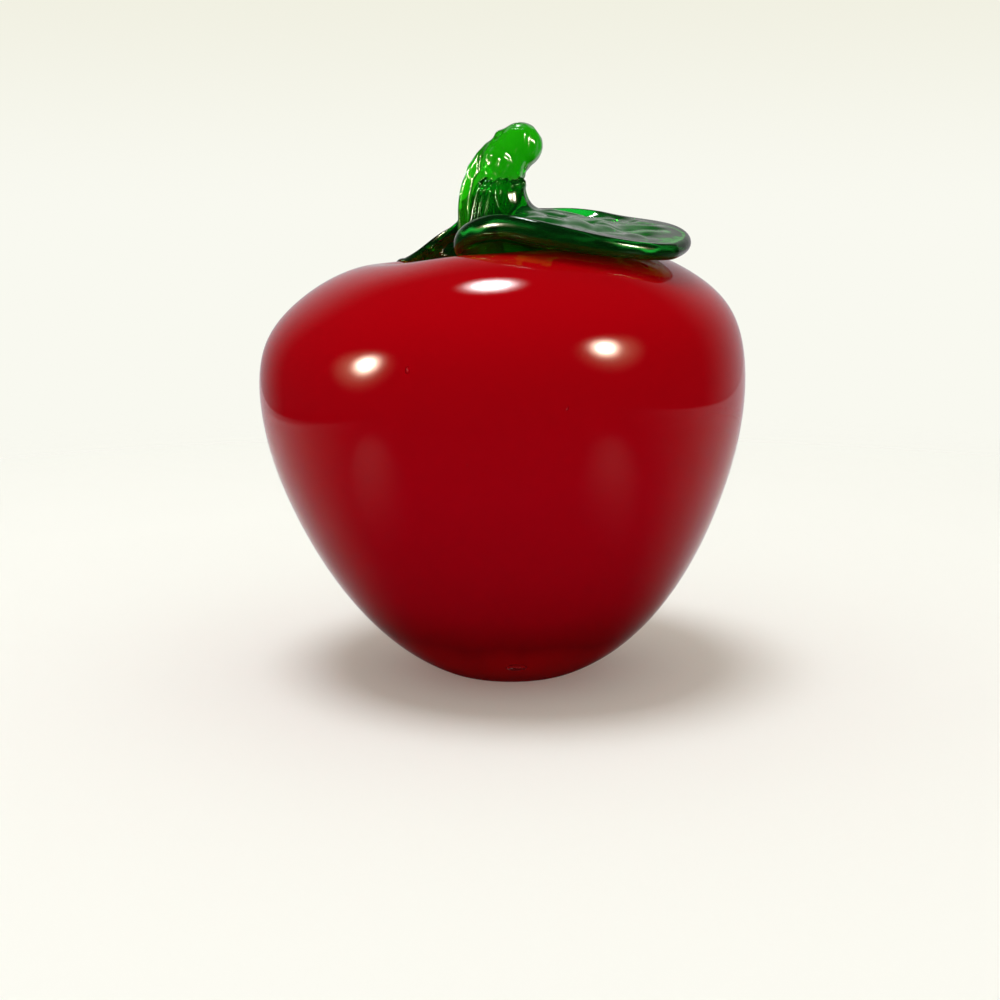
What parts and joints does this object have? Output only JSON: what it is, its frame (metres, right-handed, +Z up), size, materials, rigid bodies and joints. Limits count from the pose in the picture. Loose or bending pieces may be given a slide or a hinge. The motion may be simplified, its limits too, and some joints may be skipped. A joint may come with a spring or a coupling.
{
  "type": "art glass apple",
  "caption": "Hollow blown red glass apple cased in clear crystal, with a bent green glass stem and pressed green glass leaves; a desk ornament that stands on a ground flat.",
  "frame": {"origin": "on the floor, at the middle of the ground flat under the base, where the apple's leaning axis meets it", "axes": "+Z up; -Y towards the viewer of the picture, the face with the front leaf; +X to the viewer's right, the way the stem bends"},
  "size_m": [0.112, 0.112, 0.1271],
  "materials": {
    "red_glass": "gloss",
    "clear_glass": "gloss",
    "green_glass": "gloss",
    "dark_green_glass": "gloss"
  },
  "bodies": {
    "root": {"red_bubble": "red_glass", "clear_casing": "clear_glass", "base_seal": "clear_glass", "stem": "green_glass", "front_leaf": "dark_green_glass", "rear_leaf": "dark_green_glass"}
  },
  "joints": []
}
